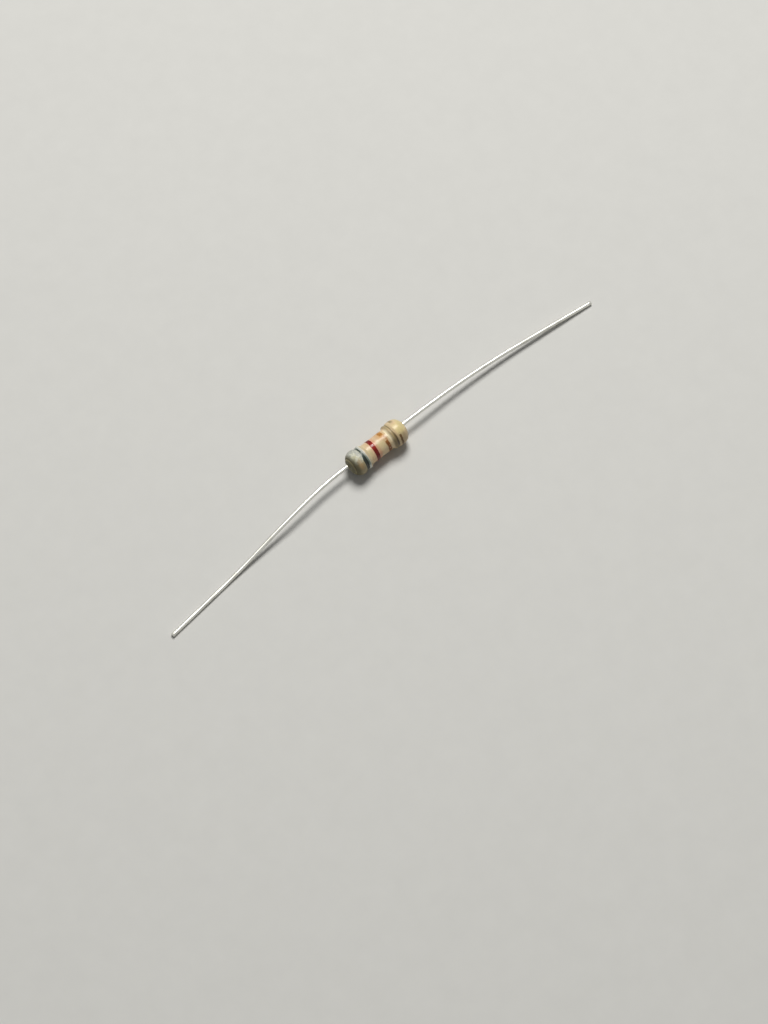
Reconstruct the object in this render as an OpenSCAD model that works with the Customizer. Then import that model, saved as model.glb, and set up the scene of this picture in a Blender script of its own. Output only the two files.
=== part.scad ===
// Carbon film resistor with axial leads, lying on a flat surface.
// The body lies along X and is turned about that axis. The surface is at z = 0.
// Angles round the body count from the back (+Y) up over the top (+Z) to the front (-Y).

/* [Body] */
// Length of the lacquered body, from lead exit to lead exit
body_len = 8.6; // [8.2:0.1:9.4]
// Diameter of the waist between the caps
waist_d = 2.75; // [2.6:0.05:3.1]
// Radius that rounds each end of the body
end_round = 1.15; // [1:0.05:1.2]
// Length of the left dome's crown
left_crown = 0.05; // [0.05:0.05:0.2]
// Radius of the left dome on its waist side
left_dome_round = 0.8; // [0.6:0.05:0.85]
// Thickness of the lacquer over the cap, between the left dome and the rim bead
left_valley = 0.05; // [0.04:0.01:0.12]
// Length of the right dome's crown
right_crown = 0.49; // [0.35:0.02:0.55]
// Radius of the right dome's shoulder
right_dome_round = 0.3; // [0.25:0.05:0.4]
// Thickness of the lacquer over the cap, between the right dome and the rim bead
right_valley = 0.18; // [0.1:0.01:0.19]
// Radius of the bead of lacquer over each cap's rim
bead_round = 0.28; // [0.24:0.01:0.32]
// How far that bead stands above the waist
bead_rise = 0.275; // [0.2:0.005:0.3]
// Radius of the hollow fillet between the waist and the bead
bead_fillet = 0.3; // [0.2:0.05:0.6]
// Size of the lacquer meniscus round each lead
meniscus = 0.18; // [0.1:0.02:0.24]

/* [Inside] */
// Thickness of the lacquer on the waist
coat_t = 0.15; // [0.1:0.01:0.2]
// Thickness of the lacquer over the side of a cap, at the domes
dome_coat = 0.25; // [0.2:0.01:0.35]
// Thickness of the lacquer over the flat end of a cap
end_coat = 0.275; // [0.25:0.005:0.35]
// Thickness of the carbon film
film_t = 0.05; // [0.03:0.01:0.08]
// Chamfer on each end of the ceramic rod
core_chamfer = 0.15; // [0.05:0.05:0.3]
// Wall of an end cap
cap_wall = 0.225; // [0.18:0.005:0.24]
// Length of an end cap
cap_len = 1.95; // [1.8:0.05:2.1]
// Radius on a cap's closed end
cap_round = 0.5; // [0.45:0.05:0.6]
// How far a cap's open rim flares
cap_flare = 0.06; // [0.02:0.01:0.08]
// Length of that flare
cap_flare_len = 0.2; // [0.1:0.05:0.3]
// Pitch of the helical groove that trims the film
trim_pitch = 0.55; // [0.4:0.05:0.6]
// Width of that groove along the body
trim_w = 0.12; // [0.08:0.01:0.16]
// Turns of that groove
trim_turns = 6; // [3:1:6]

/* [Leads] */
// Diameter of the wire
lead_d = 0.5; // [0.4:0.05:0.6]
// Length of each lead along the wire, from the body's end
lead_len = 30; // [26:0.5:38]
// How much thinner the wire is where it is bent
bend_neck = 0.004; // [0.002:0.001:0.01]
// How far the leads are welded off the middle of the caps, to the back
lead_off = 0.32; // [0:0.02:0.36]
// Diameter of the weld flare on the cap
weld_d = 0.9; // [0.7:0.05:1]
// Length of the weld flare
weld_len = 0.15; // [0.1:0.01:0.2]
// Straight stretch of the left lead at the body
left_root = 1; // [0.5:0.1:2]
// Bend of the left lead towards the front
left_turn_angle = 6.4; // [3:0.1:12]
// Radius of that bend
left_turn_r = 42; // [25:1:50]
// Straight stretch between that bend and the drop
left_level = 0.3; // [0.1:0.1:2]
// Slope of the left lead as it comes down
left_drop_angle = 8; // [7:0.5:10]
// Radius of the two bends at the ends of the drop
left_drop_r = 42; // [25:1:50]
// Straight stretch of the right lead at the body
right_root = 1; // [0.5:0.1:2]
// Radius of the bend from which the right lead slopes down to its tip
right_drop_r = 60; // [30:1:80]
// Straight stretch before the right lead's side bend
right_level = 1.2; // [0.5:0.1:4]
// Bend of the right lead towards the front
right_turn_angle = 6; // [3:0.1:8]
// Radius of that bend
right_turn_r = 134; // [80:1:150]

/* [Colour bands] */
// Thickness of the paint
paint_t = 0.03; // [0.02:0.01:0.05]
// Distance from the left end to the middle of the blue-grey ring
band_1_in = 1.72; // [1.66:0.02:1.76]
// Width of the blue-grey ring
band_1_w = 0.6; // [0.4:0.02:0.66]
// Middle of the red ring, left of the body's middle
band_2_at = 0.72; // [0.5:0.02:0.9]
// Width of the red ring
band_2_w = 0.56; // [0.4:0.02:0.8]
// Middle of the orange ring, right of the body's middle
band_3_at = 1.05; // [0.8:0.05:1.15]
// Width of the orange ring
band_3_w = 0.66; // [0.5:0.02:0.8]
// Where the worn gap in the orange ring starts
band_3_gap_from = 88; // [60:1:100]
// How far that gap reaches round
band_3_gap = 34; // [20:1:60]
// Width of the streak that is left in the gap
band_3_streak_w = 0.14; // [0.08:0.02:0.2]
// Distance from the right end to the middle of the gold-brown ring
band_4_in = 1.38; // [1.3:0.02:1.4]
// Width of the gold-brown ring
band_4_w = 0.48; // [0.3:0.02:0.5]
// Middle of the worn gap on top of the gold-brown ring
band_4_gap_at = 90; // [70:1:110]
// How far that gap reaches round
band_4_gap = 62; // [40:1:90]
// How far the ring is worn off where it lies on the surface
band_4_rub = 78; // [60:1:120]

/* [Hidden] */
$fn = 72;

// The angle of the body's underside, counted from the back over the top
UNDERSIDE = 270;
// Directions of a bend, seen along the wire
UP = 0;
DOWN = 180;
LEFT_FRONT = 270;
RIGHT_FRONT = 90;
// Steps of the helical groove in each turn
TRIM_STEPS = 24;
// Greatest angle between two corners of its outline
SECTOR_STEP = 27;
// How far a cutter runs past what it cuts
PAST = 0.1;
// How much wider than the wire a meniscus ends
MENISCUS_EDGE = 0.02;
// How far a bend of the wire runs into the straight stretches beside it
LAP = 0.02;
// Steps that settle the right lead's slope
SLOPE_STEPS = 12;

half = body_len / 2;
waist_r = waist_d / 2;
lead_r = lead_d / 2;
film_r = waist_r - coat_t;
core_r = film_r - film_t;
cap_r = film_r + cap_wall;
bulge_r = cap_r + dome_coat;
cap_end = half - end_coat;
core_half = cap_end - cap_wall;
rim = cap_end - cap_len;
end_arc_at = half - end_round;
bead_at = waist_r + bead_rise - bead_round;
fillet_back = sqrt(pow(bead_fillet + bead_round, 2) - pow(waist_r + bead_fillet - bead_at, 2));
drop = bulge_r - lead_r;
left_fall = (drop - 2 * left_drop_r * (1 - cos(left_drop_angle))) / sin(left_drop_angle);
left_bent = (left_turn_r * left_turn_angle + 2 * left_drop_r * left_drop_angle) * PI / 180;
left_end = lead_len - left_root - left_level - left_fall - left_bent;
// The right lead's last straight stretch, and its reach at a slope past the bend that starts it
function right_end(slope) = lead_len - right_root - right_level
  - (right_drop_r * slope + right_turn_r * right_turn_angle) * PI / 180;
function right_reach(slope) = right_level + right_turn_r * sin(right_turn_angle)
  + right_end(slope) * cos(right_turn_angle);
// The slope that lays the right lead's tip on the surface, refined step by step
function slope_to_surface(slope, steps) = steps == 0 ? slope :
  slope_to_surface(asin((drop - right_drop_r * (1 - cos(slope))) / right_reach(slope)), steps - 1);
right_slope = slope_to_surface(0, SLOPE_STEPS);

// ---- outlines: x is the radius, y the place along the body ----

// A filled strip from the axis out to radius r, between two places along the body
module strip(r, from, to) {
  translate([0, min(from, to)]) square([r, abs(to - from)]);
}

// The hollow fillet from the waist up to the bead, at the +y end
module bead_fillet_outline(grow) {
  difference() {
    polygon([[0, rim - fillet_back], [waist_r + bead_fillet, rim - fillet_back],
             [bead_at, rim], [0, rim]]);
    translate([waist_r + bead_fillet, rim - fillet_back]) circle(bead_fillet - grow);
  }
}

// One end of the lacquer's outline, at +y, thicker by grow
module end_outline(crown, dome_round, valley, grow) {
  dome_at = end_arc_at - crown;
  bead_fillet_outline(grow);
  translate([bead_at, rim]) circle(bead_round + grow);
  strip(cap_r + valley + grow, rim, dome_at);
  translate([bulge_r - dome_round, dome_at]) circle(dome_round + grow);
  strip(bulge_r + grow, dome_at, end_arc_at);
  translate([bulge_r - end_round, end_arc_at]) circle(end_round + grow);
  strip(bulge_r - end_round, end_arc_at, half + grow);
}

// The lacquer's whole outline without its menisci, thicker by grow
module body_outline(grow = 0) {
  intersection() {
    translate([0, -body_len]) square([2 * bulge_r, 2 * body_len]);
    union() {
      strip(waist_r + grow, -rim, rim);
      end_outline(right_crown, right_dome_round, right_valley, grow);
      mirror([0, 1]) end_outline(left_crown, left_dome_round, left_valley, grow);
    }
  }
}

module meniscus_outline() {
  polygon([[0, half - PAST], [lead_r + meniscus + PAST, half - PAST],
           [lead_r + MENISCUS_EDGE, half + meniscus], [0, half + meniscus]]);
}

module cap_outline() {
  strip(cap_r, rim, cap_end - cap_round);
  translate([cap_r - cap_round, cap_end - cap_round]) circle(cap_round);
  strip(cap_r - cap_round, rim, cap_end);
  polygon([[0, rim], [cap_r + cap_flare, rim], [cap_r + cap_flare, rim + cap_flare_len / 2],
           [cap_r, rim + cap_flare_len], [0, rim + cap_flare_len]]);
}

// What the lacquer past a cap closes round: weld and wire
module lead_cavity_outline() {
  strip(weld_d / 2, cap_end - PAST, cap_end);
  polygon([[0, cap_end], [weld_d / 2, cap_end], [lead_r, cap_end + weld_len],
           [0, cap_end + weld_len]]);
  strip(lead_r, cap_end, half + meniscus + PAST);
}

// ---- solids about the body's axis ----

// Turns an outline about the body's axis, or about the leads' axis beside it, over an arc if one
// is given
module turned(from = 0, sweep = 360, off = 0) {
  translate([0, off, bulge_r]) rotate([90, 0, 90]) rotate([0, 0, from])
    rotate_extrude(angle = sweep) children();
}

// The strip of paint that lies on the lacquer between two places
module paint_outline(at, width, grow) {
  intersection() {
    strip(2 * bulge_r, at - width / 2, at + width / 2);
    difference() {
      body_outline(grow);
      body_outline();
    }
  }
}

// ---- the wire: each step draws itself and carries what follows ----

module run(len) {
  cylinder(h = len, r = lead_r);
  translate([0, 0, len]) children();
}

module bend(radius, angle, toward) {
  lap = LAP / radius * 180 / PI;
  rotate([0, 0, toward]) translate([radius, 0, 0]) {
    rotate([0, -lap, 0]) rotate([90, 0, 180]) rotate_extrude(angle = angle + 2 * lap)
      translate([radius, 0]) circle(lead_r - bend_neck / 2);
    rotate([0, angle, 0]) translate([-radius, 0, 0]) rotate([0, 0, -toward]) children();
  }
}

// The weld flare and the wire up to the body's end, drawn along +z
module lead_root() {
  cylinder(h = weld_len, r1 = weld_d / 2, r2 = lead_r);
  run(end_coat) children();
}

// ---- the sub-parts ----

module ceramic_core() {
  color("ivory") turned() polygon([
    [0, -core_half], [core_r - core_chamfer, -core_half], [core_r, core_chamfer - core_half],
    [core_r, core_half - core_chamfer], [core_r - core_chamfer, core_half], [0, core_half]]);
}

// A sector whose corners lie on two radii
module sector(inner, outer, angle) {
  steps = ceil(angle / SECTOR_STEP);
  out = [for (i = [0:steps]) outer * [cos(angle * i / steps), sin(angle * i / steps)]];
  back = [for (i = [steps:-1:0]) inner * [cos(angle * i / steps), sin(angle * i / steps)]];
  polygon(concat(out, back));
}

module trim_groove() {
  groove_len = trim_pitch * trim_turns;
  translate([-groove_len / 2, 0, bulge_r]) rotate([90, 0, 90])
    linear_extrude(height = groove_len, twist = -360 * trim_turns,
                   slices = TRIM_STEPS * trim_turns, segments = 1)
      sector(core_r - PAST, film_r + PAST, 360 * trim_w / trim_pitch);
}

module carbon_film() {
  film_half = core_half - core_chamfer;
  color("dimgray") difference() {
    turned() difference() {
      strip(film_r, -film_half, film_half);
      strip(core_r, -film_half - PAST, film_half + PAST);
    }
    trim_groove();
  }
}

module cap() {
  turned() difference() {
    cap_outline();
    strip(film_r, rim - PAST, core_half);
  }
}

module right_cap() {
  color("silver") cap();
}

module left_cap() {
  color("silver") mirror([1, 0, 0]) cap();
}

module left_lead() {
  color("gainsboro") translate([-cap_end, lead_off, bulge_r]) rotate([0, -90, 0])
    lead_root() run(left_root) bend(left_turn_r, left_turn_angle, LEFT_FRONT) run(left_level)
      bend(left_drop_r, left_drop_angle, DOWN) run(left_fall) bend(left_drop_r, left_drop_angle, UP)
        run(left_end);
}

module right_lead() {
  color("gainsboro") translate([cap_end, lead_off, bulge_r]) rotate([0, -90, 180])
    lead_root() run(right_root) bend(right_drop_r, right_slope, DOWN) run(right_level)
      bend(right_turn_r, right_turn_angle, RIGHT_FRONT) run(right_end(right_slope));
}

module coating() {
  color("tan") difference() {
    union() {
      turned() difference() {
        body_outline();
        strip(film_r, -rim - PAST, rim + PAST);
        cap_outline();
        mirror([0, 1]) cap_outline();
      }
      turned(off = lead_off) meniscus_outline();
      turned(off = lead_off) mirror([0, 1]) meniscus_outline();
    }
    turned(off = lead_off) lead_cavity_outline();
    turned(off = lead_off) mirror([0, 1]) lead_cavity_outline();
  }
}

module band_1() {
  color("darkslategray") turned() paint_outline(band_1_in - half, band_1_w, paint_t);
}

module band_2() {
  color("firebrick") turned() paint_outline(-band_2_at, band_2_w, paint_t);
}

module band_3() {
  color("peru") {
    turned(band_3_gap_from + band_3_gap, 360 - band_3_gap)
      paint_outline(band_3_at, band_3_w, paint_t);
    turned(band_3_gap_from, band_3_gap)
      paint_outline(band_3_at + (band_3_w - band_3_streak_w) / 2, band_3_streak_w, paint_t);
  }
}

module band_4() {
  at = half - band_4_in;
  front_from = band_4_gap_at + band_4_gap / 2;
  rub_from = UNDERSIDE - band_4_rub / 2;
  color("darkgoldenrod") {
    turned(front_from, rub_from - front_from) paint_outline(at, band_4_w, paint_t);
    turned(rub_from + band_4_rub, 360 + front_from - band_4_gap - rub_from - band_4_rub)
      paint_outline(at, band_4_w, paint_t);
  }
}

ceramic_core();
carbon_film();
left_cap();
right_cap();
left_lead();
right_lead();
coating();
band_1();
band_2();
band_3();
band_4();
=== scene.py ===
"""Looks of a carbon film resistor with axial leads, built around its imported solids.

The body lies along X, turned about an axis above the floor, and the floor is at z = 0.
Angles round the body count from the back (+Y) up over the top (+Z) to the front (-Y).
Sizes are in millimetres until a mesh or a socket takes them, in metres.
"""

from __future__ import annotations

import logging
import math
from dataclasses import dataclass, field
from enum import Enum
from typing import Any, Callable, ClassVar, Mapping, Sequence, Union

import bpy
from mathutils import Matrix, Vector


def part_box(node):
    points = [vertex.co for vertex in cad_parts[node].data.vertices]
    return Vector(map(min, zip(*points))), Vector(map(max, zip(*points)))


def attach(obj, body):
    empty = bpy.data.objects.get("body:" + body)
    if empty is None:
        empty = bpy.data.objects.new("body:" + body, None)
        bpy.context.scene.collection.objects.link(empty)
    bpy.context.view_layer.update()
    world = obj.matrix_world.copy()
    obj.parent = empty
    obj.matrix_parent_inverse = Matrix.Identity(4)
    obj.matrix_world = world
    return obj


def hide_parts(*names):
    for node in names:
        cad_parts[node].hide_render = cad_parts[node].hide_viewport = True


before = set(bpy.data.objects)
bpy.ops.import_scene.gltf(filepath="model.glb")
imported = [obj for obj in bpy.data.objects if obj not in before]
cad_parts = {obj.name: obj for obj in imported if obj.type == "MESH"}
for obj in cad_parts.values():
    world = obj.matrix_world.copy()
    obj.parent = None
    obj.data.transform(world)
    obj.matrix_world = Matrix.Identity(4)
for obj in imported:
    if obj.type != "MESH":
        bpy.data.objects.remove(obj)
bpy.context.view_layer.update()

LOG = logging.getLogger("axial_resistor")
MM = 0.001
ROOT = "root"
# How close two points are, in metres, when they are made one: on a drawn shape, and where a
# ring's sheet, laid by rays, closes on itself.
WELD = 1e-7
SEAM = 1e-6
# A sweep that reaches nowhere, in degrees, and the angle of the body's underside.
NOWHERE = -360.0
UNDERSIDE = 270.0
BACKDROP = (1.0, 1.0, 0.99, 1.0)

Point = tuple[float, float]
Colour = tuple[float, float, float, float]
Number = Union["Quantity", float]
Key = Union[str, int]
Settings = Mapping[str, Any] | None
Inputs = Mapping[Key, Any] | None


def tint(red: int, green: int, blue: int) -> Colour:
    """Turns a colour as a screen shows it into the linear one that a socket takes.

    Args:
        red: Red, from 0 to 255.
        green: Green, from 0 to 255.
        blue: Blue, from 0 to 255.

    Returns:
        The linear colour, with full alpha.
    """
    shares = (channel / 255 for channel in (red, green, blue))
    linear = (s / 12.92 if s <= 0.04045 else ((s + 0.055) / 1.055) ** 2.4 for s in shares)
    return (*linear, 1.0)


def placed(name: str, data: bpy.types.ID) -> bpy.types.Object:
    """Makes an object of a mesh, a lamp or a camera, in the scene."""
    made = bpy.data.objects.new(name, data)
    bpy.context.scene.collection.objects.link(made)
    return made


def marked(mesh: bpy.types.Mesh, name: str, values: Sequence[float]) -> None:
    """Stores a value for each point of a mesh under a name."""
    mesh.attributes.new(name, "FLOAT", "POINT").data.foreach_set("value", values)


def quarter_turn(steps: int) -> list[float]:
    """Lists the angles of a quarter turn, in radians, from 0 up to its end."""
    return [math.pi / 2 * i / steps for i in range(steps + 1)]


# ---- node trees written as Python ----


def _maths(operation: str, reflected: bool = False) -> Callable[[Quantity, Number], Quantity]:
    """Makes an operator of Quantity.

    Args:
        operation: What its Math node does.
        reflected: Whether the quantity comes second.

    Returns:
        The operator's method.
    """
    def method(self: Quantity, other: Number) -> Quantity:
        """Makes the node over the quantity and a value."""
        return self.graph.maths(operation, *((other, self) if reflected else (self, other)))
    return method


@dataclass(frozen=True)
class Quantity:
    """A socket of a node tree that takes part in Python arithmetic."""

    graph: Graph
    socket: bpy.types.NodeSocket

    __add__, __radd__ = _maths("ADD"), _maths("ADD", reflected=True)
    __sub__, __rsub__ = _maths("SUBTRACT"), _maths("SUBTRACT", reflected=True)
    __mul__, __rmul__ = _maths("MULTIPLY"), _maths("MULTIPLY", reflected=True)
    __truediv__, __rtruediv__ = _maths("DIVIDE"), _maths("DIVIDE", reflected=True)
    least, most = _maths("MINIMUM"), _maths("MAXIMUM")

    def __neg__(self) -> Quantity:
        """Turns its sign."""
        return self.graph.maths("MULTIPLY", self, -1.0)

    def __abs__(self) -> Quantity:
        """Drops its sign."""
        return self.graph.maths("ABSOLUTE", self)

    def over(self, low: Number, high: Number) -> Quantity:
        """Rises smoothly from 0 to 1 between two values.

        Args:
            low: Where the rise starts.
            high: Where it ends.

        Returns:
            The share, from 0 to 1.
        """
        settings = {"interpolation_type": "SMOOTHSTEP"}
        inputs = {"Value": self, "From Min": low, "From Max": high}
        return self.graph.take("ShaderNodeMapRange", "Result", settings, inputs)


def find_socket(sockets: Sequence[bpy.types.NodeSocket], key: Key) -> bpy.types.NodeSocket:
    """Finds a node's socket.

    Args:
        sockets: The node's inputs or outputs.
        key: The socket's place, identifier or name.

    Returns:
        The socket that is in use under that key.
    """
    if isinstance(key, int):
        return sockets[key]
    return next(s for s in sockets if s.enabled and key in (s.identifier, s.name))


class Graph:
    """A node tree whose nodes and maths are made by method calls and expressions."""

    def __init__(self, tree: bpy.types.NodeTree) -> None:
        """Takes the tree to fill."""
        self.tree = tree

    def feed(self, socket: bpy.types.NodeSocket, value: Any) -> None:
        """Links a quantity to a socket, or sets the socket to a plain value."""
        if isinstance(value, Quantity):
            self.tree.links.new(value.socket, socket)
        else:
            socket.default_value = value

    def node(self, kind: str, settings: Settings = None, inputs: Inputs = None) -> bpy.types.Node:
        """Makes any node.

        Args:
            kind: The node's type.
            settings: Its properties, set first.
            inputs: The values or links of its sockets.

        Returns:
            The node.
        """
        made = self.tree.nodes.new(kind)
        for name, value in (settings or {}).items():
            setattr(made, name, value)
        for key, value in (inputs or {}).items():
            self.feed(find_socket(made.inputs, key), value)
        return made

    def takes(self, kind: str, outputs: Sequence[Key], settings: Settings = None,
              inputs: Inputs = None) -> list[Quantity]:
        """Makes a node and gives some of its outputs.

        Args:
            kind: The node's type.
            outputs: Each output's place, identifier or name.
            settings: The node's properties.
            inputs: The values or links of its sockets.

        Returns:
            Those outputs.
        """
        made = self.node(kind, settings, inputs)
        return [Quantity(self, find_socket(made.outputs, key)) for key in outputs]

    def take(self, kind: str, output: Key, settings: Settings = None,
             inputs: Inputs = None) -> Quantity:
        """Makes a node, as takes does, and gives one of its outputs."""
        return self.takes(kind, (output,), settings, inputs)[0]

    def maths(self, operation: str, *values: Number) -> Quantity:
        """Makes a Math node over one, two or three values."""
        return self.take("ShaderNodeMath", 0, {"operation": operation}, dict(enumerate(values)))

    def vector(self, operation: str, *vectors: Any) -> Quantity:
        """Makes a Vector Math node over one or two vectors.

        Args:
            operation: What it does.
            *vectors: The vectors.

        Returns:
            The vector, or the value that LENGTH gives.
        """
        output = "Value" if operation == "LENGTH" else "Vector"
        settings = {"operation": operation}
        return self.take("ShaderNodeVectorMath", output, settings, dict(enumerate(vectors)))

    def scaled(self, vector: Any, factor: Number) -> Quantity:
        """Multiplies a vector or a colour by a value."""
        inputs = {"Vector": vector, "Scale": factor}
        return self.take("ShaderNodeVectorMath", "Vector", {"operation": "SCALE"}, inputs)

    def parts(self, vector: Quantity) -> list[Quantity]:
        """Splits a vector into its three values."""
        return self.takes("ShaderNodeSeparateXYZ", range(3), None, {0: vector})

    def joined(self, x: Number, y: Number, z: Number) -> Quantity:
        """Joins three values into a vector."""
        return self.take("ShaderNodeCombineXYZ", 0, None, {0: x, 1: y, 2: z})

    def noise(self, place: Quantity, grain: Number, seed: Number = 0.0,
              detail: float = 2.0) -> Quantity:
        """Gives a smooth random value.

        Args:
            place: The coordinates that it is read at, in millimetres.
            grain: The size of its features, in millimetres.
            seed: Which pattern it is.
            detail: How many finer layers it has.

        Returns:
            The value, about 0.5 on average.
        """
        inputs = {"Vector": place, "W": seed, "Scale": 1 / grain, "Detail": detail}
        return self.take("ShaderNodeTexNoise", 0, {"noise_dimensions": "4D"}, inputs)

    def mixed(self, share: Number, first: Any, second: Any) -> Quantity:
        """Mixes two colours.

        Args:
            share: How much of the second colour there is.
            first: The first colour.
            second: The second colour.

        Returns:
            The mixed colour.
        """
        inputs = {"Factor_Float": share, "A_Color": first, "B_Color": second}
        return self.take("ShaderNodeMix", "Result_Color", {"data_type": "RGBA"}, inputs)


class Former(Graph):
    """A Geometry Nodes tree with named inputs, which forms a finished mesh from a base one."""

    def __init__(self, name: str) -> None:
        """Starts the tree with its geometry input and output."""
        super().__init__(bpy.data.node_groups.new(name, "GeometryNodeTree"))
        for side in ("INPUT", "OUTPUT"):
            self.tree.interface.new_socket("Geometry", in_out=side, socket_type="NodeSocketGeometry")
        self.entry = self.tree.nodes.new("NodeGroupInput")
        self.keys: dict[str, str] = {}
        self.base = Quantity(self, self.entry.outputs["Geometry"])

    def asks(self, name: str, kind: str = "Float") -> Quantity:
        """Adds a named input.

        Args:
            name: The input's name.
            kind: What it takes: Float, Int, Object or Material.

        Returns:
            Its value inside the tree.
        """
        socket = self.tree.interface.new_socket(name, in_out="INPUT",
                                                socket_type=f"NodeSocket{kind}")
        self.keys[name] = socket.identifier
        return Quantity(self, self.entry.outputs[name])

    def __getitem__(self, name: str) -> Quantity:
        """Gives a named number, which becomes an input when it is first asked for."""
        return Quantity(self, self.entry.outputs[name]) if name in self.keys else self.asks(name)

    def step(self, kind: str, geometry: Quantity, settings: Settings = None,
             inputs: Inputs = None) -> Quantity:
        """Makes a node that takes geometry on its first socket and gives it on its first."""
        return self.take(kind, 0, settings, {0: geometry, **(inputs or {})})

    def named(self, name: str, data_type: str = "FLOAT") -> Quantity:
        """Reads a named attribute."""
        return self.take("GeometryNodeInputNamedAttribute", "Attribute", {"data_type": data_type},
                         {"Name": name})

    def keep(self, geometry: Quantity, name: str, value: Quantity,
             data_type: str = "FLOAT") -> Quantity:
        """Stores a value on the geometry's points under a name."""
        return self.step("GeometryNodeStoreNamedAttribute", geometry, {"data_type": data_type},
                         {"Name": name, "Value": value})

    def without(self, geometry: Quantity, gone: Quantity) -> Quantity:
        """Deletes the points where a value is above 0."""
        return self.step("GeometryNodeDeleteGeometry", geometry, {"domain": "POINT"},
                         {"Selection": gone})

    def welded(self, geometry: Quantity, distance: float) -> Quantity:
        """Makes points one that lie closer together than a distance, in metres."""
        return self.step("GeometryNodeMergeByDistance", geometry, None, {"Distance": distance})

    def close(self, geometry: Quantity) -> None:
        """Ends the tree: smooth shading, real instances, and the material that was asked for."""
        material = self.asks("Material", "Material")
        smooth = self.step("GeometryNodeSetShadeSmooth", geometry)
        real = self.step("GeometryNodeRealizeInstances", smooth)
        done = self.step("GeometryNodeSetMaterial", real, None, {"Material": material})
        self.node("NodeGroupOutput", None, {0: done})

    def form(self, name: str, base: bpy.types.Mesh, values: Mapping[str, Any]) -> bpy.types.Object:
        """Runs the tree over a base mesh.

        Args:
            name: The finished piece's name.
            base: The mesh that goes in.
            values: The named inputs' values.

        Returns:
            The piece, as a plain mesh at the origin.
        """
        piece = placed(name, base)
        modifier = piece.modifiers.new("form", "NODES")
        modifier.node_group = self.tree
        for key, value in values.items():
            modifier[self.keys[key]] = value
        evaluated = piece.evaluated_get(bpy.context.evaluated_depsgraph_get())
        mesh = bpy.data.meshes.new_from_object(evaluated)
        mesh.name = name
        piece.modifiers.clear()
        piece.data = mesh
        return piece


# ---- sizes taken from the solids ----


@dataclass(frozen=True)
class Solids:
    """The sizes, in millimetres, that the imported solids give."""

    half: float
    axis_z: float
    rim: float
    cap_end: float
    flare_r: float
    film_r: float

    @classmethod
    def measured(cls, meniscus: float) -> "Solids":
        """Measures the solids' boxes.

        Args:
            meniscus: How far the lacquer's meniscus runs out along each lead.

        Returns:
            The sizes.
        """
        coat_low, coat_high = (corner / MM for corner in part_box("coating"))
        cap_low, cap_high = (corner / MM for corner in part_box("right_cap"))
        film_low, film_high = (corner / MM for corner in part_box("carbon_film"))
        return cls(
            half=coat_high.x - meniscus,
            axis_z=(coat_low.z + coat_high.z) / 2,
            rim=cap_low.x,
            cap_end=cap_high.x,
            flare_r=(cap_high.z - cap_low.z) / 2,
            film_r=(film_high.z - film_low.z) / 2,
        )


@dataclass(frozen=True)
class Wire:
    """The sizes of the tinned wire and its weld, which the lacquer's cavity follows too."""

    radius: float = 0.25
    off: float = 0.32
    weld_r: float = 0.45
    weld_len: float = 0.15


# ---- finishes ----

# Random patterns on the body: the size of their features in millimetres, their seed, and how many
# finer layers they have.
TONE = (1.2, 1.0, 2.0)
MOTTLE = (0.26, 2.0, 3.0)
PEEL = (0.32, 7.0, 2.0)
GRIT = (0.09, 8.0, 2.0)
SPECKS = (0.1, 9.0, 0.0)
SPECK_CLOUDS = (1.1, 10.0, 2.0)
CHALK = (0.28, 12.0, 4.0)


class Surface:
    """A place on the body as its materials see it, in millimetres from the middle of the axis."""

    def __init__(self, graph: Graph, axis_z: float) -> None:
        """Reads Object coordinates.

        Args:
            graph: The material's tree.
            axis_z: How high the body's axis lies.
        """
        coordinates = graph.take("ShaderNodeTexCoord", "Object")
        scaled = graph.scaled(coordinates, 1 / MM)
        self.graph = graph
        self.drawn: dict[tuple[float, float, float], Quantity] = {}
        self.place = graph.vector("SUBTRACT", scaled, (0.0, 0.0, axis_z))
        self.x, self.y, self.z = graph.parts(self.place)
        self.radius = graph.maths("SQRT", self.y * self.y + self.z * self.z)

    def along(self, middle: float, half: float, soft: float, sway: Number = 0.0) -> Quantity:
        """Masks a ring.

        Args:
            middle: The ring's middle along the axis.
            half: Half its width.
            soft: How wide its soft edge is.
            sway: How far its edges are pushed out of place.

        Returns:
            1 in the ring and 0 outside it.
        """
        off = abs(self.x - middle) + sway
        return 1.0 - off.over(half - soft / 2, half + soft / 2)

    def facing(self, angle: float, half: float, soft: float, sway: Number = 0.0) -> Quantity:
        """Masks a stretch round the body.

        Args:
            angle: The direction of its middle, in degrees.
            half: Half its sweep, in degrees.
            soft: How wide its soft edge is, in degrees.
            sway: How far its edges are pushed out of place, as a change of the cosine.

        Returns:
            1 in the stretch and 0 outside it.
        """
        turn = math.radians(angle)
        cosine = (self.y * math.cos(turn) + self.z * math.sin(turn)) / self.radius + sway
        low = math.cos(math.radians(min(half + soft / 2, 180)))
        high = math.cos(math.radians(max(half - soft / 2, 0)))
        return cosine.over(low, high)

    def noise(self, grain: float, seed: float, detail: float) -> Quantity:
        """Gives a smooth random value over the surface, and the same one for the same numbers."""
        key = (grain, seed, detail)
        if key not in self.drawn:
            self.drawn[key] = self.graph.noise(self.place, grain, seed, detail)
        return self.drawn[key]


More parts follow.
